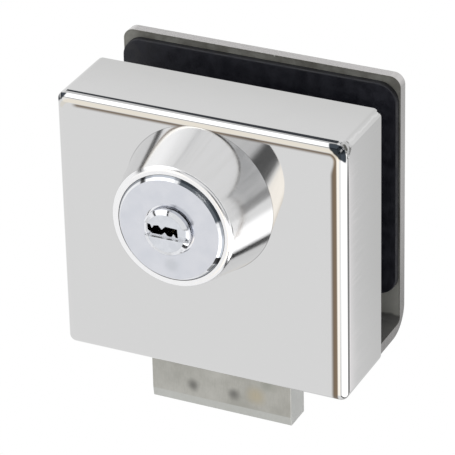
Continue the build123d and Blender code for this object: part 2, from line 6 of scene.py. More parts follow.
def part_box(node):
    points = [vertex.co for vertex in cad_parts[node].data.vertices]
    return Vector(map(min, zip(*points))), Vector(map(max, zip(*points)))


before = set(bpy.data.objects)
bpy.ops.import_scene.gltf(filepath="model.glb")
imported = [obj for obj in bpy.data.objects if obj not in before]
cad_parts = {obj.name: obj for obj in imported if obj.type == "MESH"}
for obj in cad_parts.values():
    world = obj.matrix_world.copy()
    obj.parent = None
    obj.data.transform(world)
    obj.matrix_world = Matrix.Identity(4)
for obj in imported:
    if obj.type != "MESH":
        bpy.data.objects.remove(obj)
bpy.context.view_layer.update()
MM = 0.001

# Camera: where the photograph was taken from
AZIMUTH = 25.828
ELEVATION = 28.499
ROLL = -1.374
DISTANCE = 0.801387
AIM = (0.002903, -0.0235, -0.012382)
LENS = 264.08
SENSOR = 36.0
SHIFT = (-0.00436, 0.00457)
CLIP_START = 0.05
CLIP_END = 50


def add_camera():
    azimuth, elevation, roll = np.radians([AZIMUTH, ELEVATION, ROLL])
    level = np.cos(elevation)
    back = np.array([np.sin(azimuth) * level, -np.cos(azimuth) * level, np.sin(elevation)])
    right = np.array([np.cos(azimuth), np.sin(azimuth), 0.0])
    up = np.cross(back, right)
    cos_roll, sin_roll = np.cos(roll), np.sin(roll)
    across = cos_roll * right + sin_roll * up
    upward = -sin_roll * right + cos_roll * up
    place = np.array(AIM) + back * DISTANCE
    camera = bpy.data.objects.new("camera", bpy.data.cameras.new("camera"))
    bpy.context.scene.collection.objects.link(camera)
    matrix = Matrix.Identity(4)
    for row in range(3):
        matrix[row][0] = across[row]
        matrix[row][1] = upward[row]
        matrix[row][2] = back[row]
        matrix[row][3] = place[row]
    camera.matrix_world = matrix
    camera.data.lens = LENS
    camera.data.sensor_width = SENSOR
    camera.data.shift_x = SHIFT[0]
    camera.data.shift_y = SHIFT[1]
    camera.data.clip_start = CLIP_START
    camera.data.clip_end = CLIP_END
    bpy.context.scene.camera = camera


class Graph:
    """Short calls that add and wire the nodes of one tree."""

    def __init__(self, tree):
        self.tree = tree

    def put(self, socket, value):
        if isinstance(value, bpy.types.NodeSocket):
            self.tree.links.new(value, socket)
        else:
            socket.default_value = value

    def fill(self, made, inputs):
        """Sets the inputs by name; an underscore stands for a space."""
        for name, value in inputs.items():
            self.put(made.inputs[name.replace("_", " ")], value)

    def node(self, kind, **inputs):
        made = self.tree.nodes.new(kind)
        self.fill(made, inputs)
        return made

    def use(self, group, **inputs):
        """Places a node group and gives back its outputs."""
        made = self.tree.nodes.new("ShaderNodeGroup")
        made.node_tree = group
        self.fill(made, inputs)
        return made.outputs

    def operate(self, kind, operation, values):
        made = self.tree.nodes.new(kind)
        made.operation = operation
        for socket, value in zip(made.inputs, values):
            self.put(socket, value)
        return made.outputs

    def math(self, operation, *values):
        return self.operate("ShaderNodeMath", operation, values)[0]

    def vector(self, operation, *values):
        result = "Value" if operation == "DISTANCE" else "Vector"
        return self.operate("ShaderNodeVectorMath", operation, values)[result]

    def product(self, first, *others):
        for other in others:
            first = self.math("MULTIPLY", first, other)
        return first

    def hypot(self, one, other):
        squares = self.math("ADD", self.math("POWER", one, 2.0), self.math("POWER", other, 2.0))
        return self.math("SQRT", squares)

    def excess(self, value, limit):
        """How far value is past limit, or 0."""
        return self.math("MAXIMUM", self.math("SUBTRACT", value, limit), 0.0)

    def swing(self, noise, size):
        """Noise from 0 to 1 made a length that swings round zero."""
        return self.math("MULTIPLY", self.math("SUBTRACT", noise, 0.5), size)

    def axes(self, vector):
        return self.node("ShaderNodeSeparateXYZ", Vector=vector).outputs

    def ramp(self, value, low, high, start=0.0, end=1.0):
        """Smooth step of value, from start at low to end at high."""
        made = self.tree.nodes.new("ShaderNodeMapRange")
        made.interpolation_type = "SMOOTHSTEP"
        limits = {"Value": value, "From Min": low, "From Max": high, "To Min": start, "To Max": end}
        for name, item in limits.items():
            self.put(made.inputs[name], item)
        return made.outputs[0]

    def fade(self, value, low, high):
        """Smooth step of value, from 1 at low to 0 at high."""
        return self.ramp(value, low, high, 1.0, 0.0)

    def band(self, value, low, high, soft):
        """1 between low and high, with soft edges."""
        rise = self.ramp(value, low - soft, low + soft)
        fall = self.fade(value, high - soft, high + soft)
        return self.math("MULTIPLY", rise, fall)

    def noise(self, place, scale, detail=3.0, rough=0.5):
        """Even noise from 0 to 1; scale is in bumps per metre, one number or one for each axis."""
        if isinstance(scale, (tuple, bpy.types.NodeSocketVector)):
            place, scale = self.vector("MULTIPLY", place, scale), 1.0
        made = self.node("ShaderNodeTexNoise", Vector=place, Scale=scale, Detail=detail, Roughness=rough)
        return made.outputs["Fac"]

    def mix(self, factor, first, second):
        made = self.tree.nodes.new("ShaderNodeMix")
        made.data_type = "RGBA"
        self.put(made.inputs["Factor"], factor)
        self.put(made.inputs["A"], first)
        self.put(made.inputs["B"], second)
        return made.outputs["Result"]

    def gray_of(self, value):
        return self.node("ShaderNodeCombineColor", Red=value, Green=value, Blue=value).outputs[0]


def gray(level):
    return (level, level, level, 1)


FLOAT = "NodeSocketFloat"
VECTOR = "NodeSocketVector"
COLOR = "NodeSocketColor"


def new_group(name, inputs, outputs):
    """An empty node group with named sockets: the group, its graph, and its sockets seen from inside."""
    group = bpy.data.node_groups.new(name, "ShaderNodeTree")
    for socket, kind in inputs.items():
        group.interface.new_socket(socket, in_out="INPUT", socket_type=kind)
    for socket, kind in outputs.items():
        group.interface.new_socket(socket, in_out="OUTPUT", socket_type=kind)
    given = group.nodes.new("NodeGroupInput").outputs
    result = group.nodes.new("NodeGroupOutput").inputs
    return group, Graph(group), given, result


def surface_grain_group():
    """Clouds over a surface, and a finer grain that its scale can draw out along one axis."""
    inputs = {"Place": VECTOR, "Cloud Scale": FLOAT, "Cloud Detail": FLOAT, "Cloud Roughness": FLOAT}
    inputs.update({"Grain Scale": VECTOR, "Grain Detail": FLOAT, "Grain Roughness": FLOAT})
    group, g, given, result = new_group("surface_grain", inputs, {"Cloud": FLOAT, "Grain": FLOAT})
    place = given["Place"]
    cloud = g.noise(place, given["Cloud Scale"], given["Cloud Detail"], given["Cloud Roughness"])
    grain = g.noise(place, given["Grain Scale"], given["Grain Detail"], given["Grain Roughness"])
    g.put(result["Cloud"], cloud)
    g.put(result["Grain"], grain)
    return group


def flecks_group():
    """Few small flecks, one in some of the cells of a Voronoi pattern."""
    inputs = {"Place": VECTOR, "Scale": FLOAT, "Inner": FLOAT, "Outer": FLOAT, "Rarity": FLOAT}
    group, g, given, result = new_group("flecks", inputs, {"Mask": FLOAT})
    soft = 0.02
    cells = g.node("ShaderNodeTexVoronoi", Vector=given["Place"], Scale=given["Scale"], Randomness=1.0)
    chance = g.node("ShaderNodeSeparateColor", Color=cells.outputs["Color"]).outputs[0]
    chosen = g.ramp(chance, given["Rarity"], g.math("ADD", given["Rarity"], soft))
    dot = g.fade(cells.outputs["Distance"], given["Inner"], given["Outer"])
    g.put(result["Mask"], g.math("MULTIPLY", chosen, dot))
    return group


def spot_group():
    """A round spot about one place, 1 inside and 0 outside; Wander pushes its edge in and out."""
    inputs = {"Place": VECTOR, "Centre": VECTOR, "Inner": FLOAT, "Outer": FLOAT, "Wander": FLOAT}
    group, g, given, result = new_group("spot", inputs, {"Mask": FLOAT})
    reach = g.math("ADD", g.vector("DISTANCE", given["Place"], given["Centre"]), given["Wander"])
    g.put(result["Mask"], g.fade(reach, given["Inner"], given["Outer"]))
    return group


SURFACE_GRAIN = surface_grain_group()
FLECKS = flecks_group()
SPOT = spot_group()


# Paints of the studio, as gray levels or colours; a soft box is brighter than 1
BACK_WALL = gray(0.74)
BACK_WALL_FAR_LEFT = gray(0.88)
BACK_WALL_LEFT = gray(1.0)
BACK_STRIP = gray(0.95)
FRONT_WALL = gray(0.82)
POST = gray(0.13)
WALL_GAP = (0.12, 0.135, 0.15, 1)
UNDER_RIGHT_BOX = gray(0.05)
BRIGHT_STRIP = (1.12, 1.09, 1.1, 1)
DARK_STRIP = gray(0.3)
RIGHT_BAR = gray(0.1)
UNDER_LEFT_BOX = gray(0.08)
LEFT_BAR = (0.06, 0.065, 0.075, 1)
UPRIGHT = gray(0.12)
SHEET_LINE = gray(0.5)
CREAM_SHEET = (1.2, 1.17, 1.12, 1)
LOW_SHEET_LEFT = (1.05, 0.98, 0.88, 1)
LOW_SHEET_RIGHT = (1.5, 1.42, 1.3, 1)


class View:
    """Measures of the direction in which polished metal looks at the studio."""

    def __init__(self, g, direction):
        self.x, self.y, self.z = g.axes(g.vector("NORMALIZE", direction))
        # Depth and height at which the direction meets a side wall one metre away
        width = g.math("MAXIMUM", g.math("ABSOLUTE", self.x), 0.02)
        self.depth = g.math("DIVIDE", self.y, width)
        self.height = g.math("DIVIDE", self.z, width)
        # Degrees to the right of straight ahead of the lock
        self.turn = g.math("DEGREES", g.math("ARCTAN2", self.x, g.math("MULTIPLY", self.y, -1.0)))
        self.on_right = g.ramp(self.x, 0.0, 0.06)
        self.on_left = g.fade(self.x, -0.06, 0.0)


def lay(g, color, paint, *masks):
    """Paint over the colour where all masks are 1."""
    return g.mix(g.product(*masks), color, paint)


def back_of_room(g, view, color):
    """Gray wall behind the lock, paler on its left, with a pale strip straight behind."""
    behind = g.ramp(view.y, -0.1, 0.15)
    far_left = g.fade(view.x, -0.6, -0.25)
    left = g.fade(view.x, -0.36, -0.1)
    not_above = g.fade(view.z, 0.5, 0.7)
    straight = g.ramp(view.y, 0.70, 0.76)
    middle = g.band(view.z, -0.3, 0.6, 0.1)
    color = lay(g, color, BACK_WALL, behind)
    color = lay(g, color, BACK_WALL_FAR_LEFT, behind, far_left)
    color = lay(g, color, BACK_WALL_LEFT, behind, left, not_above)
    return lay(g, color, BACK_STRIP, straight, middle)


def front_wall(g, view, color):
    """Pale wall above the horizon, a dark strip at its foot, a dark post, and the gap on its right."""
    front = g.fade(view.y, -0.44, -0.40)
    above = g.ramp(view.z, 0.0, 0.08)
    color = lay(g, color, FRONT_WALL, above, g.ramp(view.x, -0.22, -0.1), front)
    # The strip grows paler to the right
    foot = g.band(view.z, -0.19, 0.05, 0.04)
    foot_paint = g.gray_of(g.ramp(view.x, 0.2, 0.88, 0.05, 0.4))
    color = lay(g, color, foot_paint, foot, g.ramp(view.x, 0.0, 0.14), front)
    post = g.band(view.turn, 9.0, 27.0, 2.0)
    post_height = g.band(view.z, -0.2, 0.36, 0.04)
    color = lay(g, color, POST, post, post_height)
    gap = g.band(view.y, -0.418, -0.16, 0.006)
    over_foot = g.ramp(view.height, -0.06, 0.04)
    return lay(g, color, WALL_GAP, gap, g.ramp(view.x, -0.16, -0.04), over_foot)


def right_side(g, view, color):
    """Gray wall with two slanting strips low down, and a low soft box over a dark strip."""
    under = g.band(view.height, -2.5, -1.5, 0.08)
    under_length = g.band(view.depth, -2.2, 0.3, 0.3)
    color = lay(g, color, UNDER_RIGHT_BOX, view.on_right, under_length, under)
    # The wall is a little paler below
    wall_paint = g.gray_of(g.ramp(view.z, -0.55, -0.48, 0.80, 0.75))
    wall = g.ramp(view.depth, 1.3, 1.5)
    color = lay(g, color, wall_paint, view.on_right, wall, g.fade(view.z, -0.3, -0.2))
    slant = g.math("SUBTRACT", view.depth, g.math("MULTIPLY", view.z, 0.75))
    low = g.fade(view.z, -0.44, -0.42)
    bright_strip = g.band(slant, 1.98, 2.33, 0.03)
    dark_strip = g.band(slant, 0.91, 1.96, 0.05)
    color = lay(g, color, BRIGHT_STRIP, view.on_right, bright_strip, low)
    color = lay(g, color, DARK_STRIP, view.on_right, dark_strip, low)
    # The soft box is weaker at its near end and along its top
    along = g.ramp(view.depth, -1.6, -1.0, 1.2, 1.9)
    down = g.ramp(view.height, -0.55, -0.35, 1.9, 1.2)
    glow = g.gray_of(g.math("MINIMUM", along, down))
    box_length = g.band(view.depth, -3.2, 0.55, 0.25)
    box_height = g.band(view.height, -1.55, -0.17, 0.03)
    color = lay(g, color, glow, view.on_right, box_length, box_height)
    # Dark bar across the upper far corner of the box
    bar = g.band(view.depth, 0.13, 0.42, 0.04)
    bar_height = g.band(view.height, -0.45, -0.17, 0.04)
    return lay(g, color, RIGHT_BAR, view.on_right, bar, bar_height)


def left_side(g, view, color):
    """High soft box with a bowed lower edge, a dark line under it, a dark bar behind it and an upright."""
    bow = g.product(view.depth, view.depth, 0.35)
    rise = g.math("SUBTRACT", view.height, g.math("SUBTRACT", 0.42, bow))
    line = g.band(rise, -0.06, 0.1, 0.04)
    line_length = g.band(view.depth, -1.0, 0.7, 0.2)
    color = lay(g, color, UNDER_LEFT_BOX, view.on_left, line_length, line)
    glow = g.gray_of(g.ramp(view.z, 0.56, 0.65, 1.25, 1.8))
    box_length = g.band(view.depth, -1.7, 0.55, 0.1)
    box_foot = g.ramp(rise, 0.1, 0.16)
    box_side = g.fade(view.x, -0.3, -0.2)
    color = lay(g, color, glow, view.on_left, box_length, box_foot, box_side)
    back_bar = g.band(view.depth, 1.5, 2.3, 0.06)
    back_bar_height = g.band(view.z, 0.475, 0.80, 0.012)
    color = lay(g, color, LEFT_BAR, view.on_left, back_bar, back_bar_height)
    upright = g.band(view.x, -0.28, -0.16, 0.02)
    upright_height = g.band(view.z, 0.5, 0.9, 0.05)
    return lay(g, color, UPRIGHT, upright, g.fade(view.y, -0.5, -0.4), upright_height)


def near_sheets(g, view, color):
    """Cream sheets close in front of the lock: a tall one with a gray line over it, and a low one."""
    tall = g.band(view.turn, -38.0, -14.0, 2.0)
    color = lay(g, color, SHEET_LINE, tall, g.band(view.z, 0.53, 0.64, 0.02))
    color = lay(g, color, CREAM_SHEET, tall, g.band(view.z, -0.25, 0.47, 0.05))
    low_paint = g.mix(g.ramp(view.turn, -17.0, 0.0), LOW_SHEET_LEFT, LOW_SHEET_RIGHT)
    left_end = g.ramp(view.turn, -19.6, -18.6)
    right_end = g.fade(view.turn, 12.0, 22.0)
    return lay(g, color, low_paint, left_end, right_end, g.band(view.z, -0.66, -0.25, 0.03))


def studio_group():
    """What polished metal sees in each direction: pale walls, two soft boxes and dark gaps."""
    group, g, given, result = new_group("studio", {"Direction": VECTOR}, {"Color": COLOR})
    view = View(g, given["Direction"])
    color = gray(1.0)
    for paint_part in (back_of_room, front_wall, right_side, left_side, near_sheets):
        color = paint_part(g, view, color)
    g.put(result["Color"], color)
    return group


def new_material(name, color, roughness, metallic=1.0):
    """A material with its graph, its shader and its object coordinates."""
    material = bpy.data.materials.new(name)
    material.use_nodes = True
    g = Graph(material.node_tree)
    shader = material.node_tree.nodes["Principled BSDF"]
    shader.inputs["Base Color"].default_value = color
    shader.inputs["Metallic"].default_value = metallic
    shader.inputs["Roughness"].default_value = roughness
    place = g.node("ShaderNodeTexCoord").outputs["Object"]
    return material, g, shader, place


def finish(g, shader, color, roughness, height, distance=1.0):
    """Wires the colour, the roughness and a bump of the height into the shader."""
    g.put(shader.inputs["Base Color"], color)
    g.put(shader.inputs["Roughness"], roughness)
    relief = g.node("ShaderNodeBump", Height=height, Distance=distance)
    g.put(shader.inputs["Normal"], relief.outputs[0])


def grain_of(g, place, cloud, grain):
    """Cloud and grain from the shared group; each is given as scale, detail and roughness."""
    made = g.use(
        SURFACE_GRAIN,
        Place=place,
        Cloud_Scale=cloud[0],
        Cloud_Detail=cloud[1],
        Cloud_Roughness=cloud[2],
        Grain_Scale=grain[0],
        Grain_Detail=grain[1],
        Grain_Roughness=grain[2],
    )
    return made["Cloud"], made["Grain"]


def even(scale):
    return (scale, scale, scale)


def worn_metal(name, color, dark, roughness, spread, scale, bump):
    """Cast, plated or turned metal: blotchy colour and gloss, and fine grain."""
    material, g, shader, place = new_material(name, color, roughness)
    cloud, grain = grain_of(g, place, (scale, 4.0, 0.6), (even(scale * 6), 3.0, 0.6))
    blotches = g.math("ADD", g.math("MULTIPLY", cloud, 0.7), g.math("MULTIPLY", grain, 0.3))
    tone = g.ramp(blotches, 0.35, 0.65)
    gloss = g.ramp(grain, 0.3, 0.7, roughness - spread, roughness + spread)
    finish(g, shader, g.mix(tone, dark, color), gloss, grain, bump)
    return material


# Cover
COVER_LOW, COVER_HIGH = [Vector(corner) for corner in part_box("front_cover")]
COLLAR_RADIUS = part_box("escutcheon")[1][0]
# Where the bends begin, how far each side of that they are eased, and how steeply
BEND = 2.0 * MM
SOFT = 1.0 * MM
SLOPE = 0.06
# The outline turns its upper corners round this radius, and the painted brown reflection line stays inside
# it
CORNER = 4.0 * MM
LINE_START = 1.9 * MM
TOP_LINE = 3.2 * MM
SIDE_LINE = 3.9 * MM
# How far the corner facets painted dark as a reflection reach, as distance from the side and from the top
# added up
FACET_LEFT = 2.9 * MM
FACET_RIGHT = 4.6 * MM
FACET_DEPTH = 1.1 * MM
FACET_WANDER = 1.6 * MM
WELD = COVER_HIGH.x - 0.3 * MM, COVER_LOW.y + 2.2 * MM, COVER_HIGH.z - 1.1 * MM
WELD_SIZE = 1.4 * MM
WELD_FADED = 2.6 * MM
PIT_DEPTH = 0.3 * MM
RIPPLE_DEPTH = 0.004 * MM
DULL_DEPTH = 24 * MM
# Wiping marks in bumps per metre: long across the cover, fine up and down
WIPING = (90.0, 90.0, 1400.0)
POLISHED = gray(0.66)
DULLED = (0.585, 0.585, 0.58, 1)
# Cream and brown are painted reflections on the bends of the cover
CREAM_PAINTED_REFLECTION = (0.66, 0.635, 0.585, 1)
BROWN_PAINTED_REFLECTION = (0.14, 0.095, 0.055, 1)
# Near black is a painted reflection on the corner facets; pale is a painted highlight along their seams
FACET_PAINTED_REFLECTION = (0.012, 0.018, 0.026, 1)
SEAM_PAINTED_HIGHLIGHT = gray(0.74)
WELD_GRAY = gray(0.60)
WELD_PIT = (0.13, 0.13, 0.12, 1)
COLLAR_SHADOW = gray(0.15)


def edge_distance(g, from_side, from_top):
    """Distance from the outline of the front, running round its upper corners."""
    across = g.math("MAXIMUM", g.math("SUBTRACT", CORNER, from_side), 0.0)
    upright = g.math("MAXIMUM", g.math("SUBTRACT", CORNER, from_top), 0.0)
    return g.math("SUBTRACT", CORNER, g.hypot(across, upright))


def bend_height(g, edge, from_front):
    """Height that eases the flat faces of the cover into its bends."""
    drop = -SLOPE * SOFT * 4 / 3
    eased = [g.ramp(distance, BEND - SOFT, BEND + SOFT, drop, 0.0) for distance in (edge, from_front)]
    return g.math("ADD", *eased)


def painted_bend_reflections(g, color, x, from_top, edge):
    """Painted reflections: a cream band on the top bend, and a thin brown line where the top and right
    bends begin.
    """
    upper = g.fade(from_top, 3 * MM, 4 * MM)
    cream_reflection = g.product(upper, g.band(edge, 1.0 * MM, 1.95 * MM, 0.1 * MM))
    color = g.mix(cream_reflection, color, CREAM_PAINTED_REFLECTION)
    reach = g.ramp(from_top, 4 * MM, 8 * MM, TOP_LINE, SIDE_LINE)
    outer = g.ramp(edge, LINE_START, LINE_START + 0.4 * MM)
    inner = g.fade(edge, g.math("SUBTRACT", reach, 0.9 * MM), reach)
    top_or_right = g.math("MAXIMUM", g.ramp(x, 0.0, 5 * MM), g.fade(from_top, 4 * MM, 5 * MM))
    off_left = g.ramp(x, 4 * MM - COVER_HIGH.x, 6 * MM - COVER_HIGH.x)
    line = g.product(outer, inner, top_or_right, off_left)
    return g.mix(g.math("MULTIPLY", line, 0.9), color, BROWN_PAINTED_REFLECTION)


def painted_corner_reflections(g, color, place, x, from_side, from_top, from_front):
    """Painted reflections at the two upper corners: a near-black facet across the bends, and a pale painted
    highlight along the seams behind them.
    """
    wander = g.swing(g.noise(place, 400.0, 2.0), FACET_WANDER)
    together = g.math("ADD", from_side, from_top)
    reach = g.ramp(x, -1 * MM, 1 * MM, FACET_LEFT, FACET_RIGHT)
    past = g.math("SUBTRACT", g.math("ADD", together, wander), reach)
    depth = g.math("ADD", from_front, g.math("MULTIPLY", wander, 0.4))
    painted_facet = g.product(g.fade(past, -0.3 * MM, 0.3 * MM), g.fade(depth, FACET_DEPTH, FACET_DEPTH + 0.3 * MM))
    # Painted dark reflection on the facet
    color = g.mix(g.math("MULTIPLY", painted_facet, 0.97), color, FACET_PAINTED_REFLECTION)
    offset = g.math("ABSOLUTE", g.math("ADD", g.math("SUBTRACT", from_side, from_top), wander))
    seam_highlight = g.product(g.fade(offset, 0.1 * MM, 0.5 * MM), g.fade(together, 2.0 * MM, 3.0 * MM))
    # Pale painted highlight along the seam
    return g.mix(g.math("MULTIPLY", seam_highlight, 0.6), color, SEAM_PAINTED_HIGHLIGHT), painted_facet


def polished_steel():
    """Mirror-polished sheet of the cover: eased bends, ripple, wiping marks and dressed upper corners."""
    material, g, shader, place = new_material("cover_steel", POLISHED, 0.03)
    x, y, z = g.axes(place)
    from_side = g.math("SUBTRACT", COVER_HIGH.x, g.math("ABSOLUTE", x))
    from_top = g.math("SUBTRACT", COVER_HIGH.z, z)
    from_front = g.math("SUBTRACT", y, COVER_LOW.y)
    edge = edge_distance(g, from_side, from_top)
    wipe = g.noise(place, WIPING, 3.0)
    # A little duller towards the glass
    dulled = g.product(g.ramp(from_front, BEND, DULL_DEPTH), g.ramp(wipe, 0.2, 0.8, 0.8, 1.0))
    color = g.mix(dulled, POLISHED, DULLED)
    # Painted reflections on the bends: cream on the top, a brown line where the top and right bends begin
    color = painted_bend_reflections(g, color, x, from_top, edge)
    # Painted reflection and highlight at the upper corners
    color, painted_facet = painted_corner_reflections(g, color, place, x, from_side, from_top, from_front)
    # Pitted weld behind the right facet
    weld = g.use(SPOT, Place=place, Centre=WELD, Inner=WELD_SIZE, Outer=WELD_FADED, Wander=0.0)["Mask"]
    weld = g.product(weld, g.math("SUBTRACT", 1.0, painted_facet))
    pits = g.noise(place, 800.0, 2.0, 0.6)
    color = g.mix(g.math("MULTIPLY", weld, 0.8), color, WELD_GRAY)
    color = g.mix(g.product(weld, g.ramp(pits, 0.5, 0.62)), color, WELD_PIT)
    # Thin shadow where the collar meets the cover
    hairline = g.band(g.hypot(x, z), COLLAR_RADIUS - 0.05 * MM, COLLAR_RADIUS + 0.1 * MM, 0.05 * MM)
    color = g.mix(g.math("MULTIPLY", hairline, 0.4), color, COLLAR_SHADOW)
    polish = g.ramp(wipe, 0.4, 0.75, 0.025, 0.06)
    ripple = g.math("MULTIPLY", g.noise(place, 60.0, 1.0), RIPPLE_DEPTH)
    height = g.math("ADD", bend_height(g, edge, from_front), ripple)
    height = g.math("ADD", height, g.product(weld, pits, PIT_DEPTH))
    finish(g, shader, color, g.math("ADD", polish, g.math("MULTIPLY", weld, 0.3)), height)
    return material


# Pads
PAD_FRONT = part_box("back_pad")[0][1]
RUBBER_BLACK = (0.010, 0.0105, 0.017, 1)
RUBBER_BLOOM = (0.019, 0.020, 0.030, 1)
RUBBER_EDGE = (0.004, 0.004, 0.005, 1)
DUST = (0.16, 0.16, 0.17, 1)


def rubber():
    """Black rubber with a dull bloom, fine tooth and a few pale specks of dust."""
    material, g, shader, place = new_material("rubber", (0.012, 0.013, 0.018, 1), 0.55, 0.0)
    bloom, tooth = grain_of(g, place, (300.0, 4.0, 0.6), (even(2500.0), 2.0, 0.5))
    specks = g.use(FLECKS, Place=place, Scale=160.0, Inner=0.03, Outer=0.05, Rarity=0.9)["Mask"]
    color = g.mix(g.ramp(bloom, 0.35, 0.7), RUBBER_BLACK, RUBBER_BLOOM)
    color = g.mix(specks, color, DUST)
    cut_edge = g.ramp(g.axes(place)[1], PAD_FRONT + 0.03 * MM, PAD_FRONT + 0.3 * MM, 0.0, 0.6)
    color = g.mix(cut_edge, color, RUBBER_EDGE)
    finish(g, shader, color, g.ramp(bloom, 0.3, 0.7, 0.45, 0.7), tooth, 0.02 * MM)
    return material


# Collar
COLLAR_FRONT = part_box("escutcheon")[0][1]
CHROME = (0.88, 0.88, 0.885, 1)
CHROME_STREAK = gray(0.84)
CHROME_RIM = (0.90, 0.90, 0.91, 1)


def chrome():
    """Bright chrome of the collar: faint drawn streaks along its slope, and a brighter rim."""
    material, g, shader, place = new_material("collar_chrome", CHROME, 0.15)
    x, y, z = g.axes(place)
    around = g.node("ShaderNodeCombineXYZ", X=g.math("ARCTAN2", z, x), Y=g.math("MULTIPLY", y, 4.0))
    streak = g.noise(around.outputs[0], 9.0, 3.0, 0.6)
    rim = g.fade(y, COLLAR_FRONT + 0.5 * MM, COLLAR_FRONT + 0.8 * MM)
    sheen = g.ramp(streak, 0.35, 0.75, 0.13, 0.19)
    color = g.mix(g.ramp(streak, 0.45, 0.8), CHROME, CHROME_STREAK)
    color = g.mix(rim, color, CHROME_RIM)
    finish(g, shader, color, g.math("ADD", sheen, g.math("MULTIPLY", rim, 0.02)), streak, 0.008 * MM)
    return material


# Cylinder
NOSE_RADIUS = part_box("cylinder_body")[1][0]
BEVEL_START = 12.75 * MM
BEVEL_SOFT = 0.1 * MM
SMUDGE = (0.3 * MM, COLLAR_FRONT - 1.1 * MM, -9.2 * MM)
SATIN_DARK = (0.66, 0.68, 0.735, 1)
SATIN_PALE = (0.705, 0.72, 0.77, 1)
SMUDGE_GRAY = (0.55, 0.57, 0.61, 1)
BEVEL_BRIGHT = (0.86, 0.87, 0.89, 1)
# Painted shade of the narrow gap between the nose and the collar
NOSE_GAP_PAINTED_SHADE = (0.16, 0.18, 0.21, 1)


def satin_nickel():
    """Cylinder nose: satin bluish face with one smudge, a bright bevel outside it, and painted shade in the
    gap round its rim.
    """
    material, g, shader, place = new_material("cylinder_nickel", (0.74, 0.76, 0.82, 1), 0.22)
    x, y, z = g.axes(place)
    out = g.hypot(x, z)
    cloud, fine = grain_of(g, place, (220.0, 3.0, 0.5), (even(3000.0), 2.0, 0.5))
    face = g.mix(g.ramp(cloud, 0.3, 0.7), SATIN_DARK, SATIN_PALE)
    smudge = g.use(SPOT, Place=place, Centre=SMUDGE, Inner=0.6 * MM, Outer=2.6 * MM, Wander=0.0)["Mask"]
    face = g.mix(g.math("MULTIPLY", smudge, 0.6), face, SMUDGE_GRAY)
    color = g.mix(g.ramp(out, BEVEL_START, BEVEL_START + BEVEL_SOFT), face, BEVEL_BRIGHT)
    # Painted shade in the gap round the rim of the nose
    gap_shade = g.ramp(out, NOSE_RADIUS - 0.5 * MM, NOSE_RADIUS - 0.3 * MM, 0.0, 0.8)
    color = g.mix(gap_shade, color, NOSE_GAP_PAINTED_SHADE)
    gloss = g.ramp(out, BEVEL_START, BEVEL_START + BEVEL_SOFT, 0.2, 0.05)
    finish(g, shader, color, gloss, fine, 0.004 * MM)
    return material


# Bolt
BOLT_LOW, BOLT_HIGH = [Vector(corner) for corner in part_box("deadbolt")]
BOLT_MIDDLE = (BOLT_LOW.x + BOLT_HIGH.x) / 2
LIP_HEIGHT = 2.3 * MM
LIP_SOFT = 0.3 * MM
# Grain in bumps per metre: drawn out up and down the bolt
BOLT_GRAIN = (2600.0, 2600.0, 500.0)
BOLT_DARK = (0.375, 0.375, 0.35, 1)
BOLT_PALE = (0.51, 0.51, 0.485, 1)
BOLT_LIP = (0.55, 0.56, 0.54, 1)
BOLT_SIDE = (0.70, 0.71, 0.69, 1)
# Stains on the front of the bolt: x from its middle, height above its tip, size, colour
BOLT_STAINS = [
    (-7.7 * MM, 5.6 * MM, 2.0 * MM, (0.20, 0.20, 0.19, 1)),
    (3.4 * MM, 5.6 * MM, 2.0 * MM, (0.20, 0.20, 0.19, 1)),
    (9.5 * MM, 6.5 * MM, 3.0 * MM, (0.46, 0.42, 0.33, 1)),
    (12.5 * MM, 10.5 * MM, 2.6 * MM, (0.34, 0.35, 0.32, 1)),
]


def bolt_steel():
    """Sand-dull steel of the bolt: mottling, short drawn grain, a paler tip and side, a few stains."""
    material, g, shader, place = new_material("bolt_steel", (0.42, 0.42, 0.40, 1), 0.4)
    x, y, z = g.axes(place)
    cloud, grain = grain_of(g, place, (110.0, 5.0, 0.65), (BOLT_GRAIN, 3.0, 0.6))
    tone = g.math("ADD", g.math("MULTIPLY", cloud, 0.65), g.math("MULTIPLY", grain, 0.35))
    color = g.mix(g.ramp(tone, 0.3, 0.7), BOLT_DARK, BOLT_PALE)
    lip_top = BOLT_LOW.z + LIP_HEIGHT
    lip = g.ramp(z, lip_top, lip_top + LIP_SOFT, 0.8, 0.0)
    color = g.mix(lip, color, BOLT_LIP)
    side = g.ramp(x, BOLT_HIGH.x - 0.2 * MM, BOLT_HIGH.x - 0.05 * MM, 0.0, 0.9)
    color = g.mix(side, color, BOLT_SIDE)
    for across, height, size, stain in BOLT_STAINS:
        centre = (BOLT_MIDDLE + across, BOLT_LOW.y, BOLT_LOW.z + height)
        wander = g.math("MULTIPLY", cloud, 0.6 * size)
        inner, outer = 0.35 * size, 1.5 * size
        spot = g.use(SPOT, Place=place, Centre=centre, Inner=inner, Outer=outer, Wander=wander)["Mask"]
        color = g.mix(g.math("MULTIPLY", spot, 0.95), color, stain)
    finish(g, shader, color, g.ramp(grain, 0.3, 0.7, 0.32, 0.5), tone, 0.05 * MM)
    return material


# Back plate
PLATE_LOW, PLATE_HIGH = [Vector(corner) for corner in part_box("back_plate")]
PLATE_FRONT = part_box("back_pad")[1][1]
PLATE_THICKNESS = 3.0 * MM
INNER_BEND = 1.5 * MM
# Heights above the underside of the plate
FOLD_HEIGHT = 4.0 * MM
FLAT_HEIGHT = 5 * MM
LOW_FILM_HEIGHT = 12 * MM
# Brushing in bumps per metre: long strokes up and down
BRUSHING = (900.0, 900.0, 90.0)
BRUSHED_DARK = (0.59, 0.575, 0.57, 1)
BRUSHED_PALE = (0.63, 0.615, 0.61, 1)
WORN_LOW = (0.24, 0.235, 0.23, 1)
WORN_HIGH = (0.47, 0.46, 0.455, 1)
FILM_DARK = (0.19, 0.185, 0.165, 1)
FILM_PALE = (0.33, 0.33, 0.30, 1)
FILM_LOW = (0.55, 0.55, 0.51, 1)
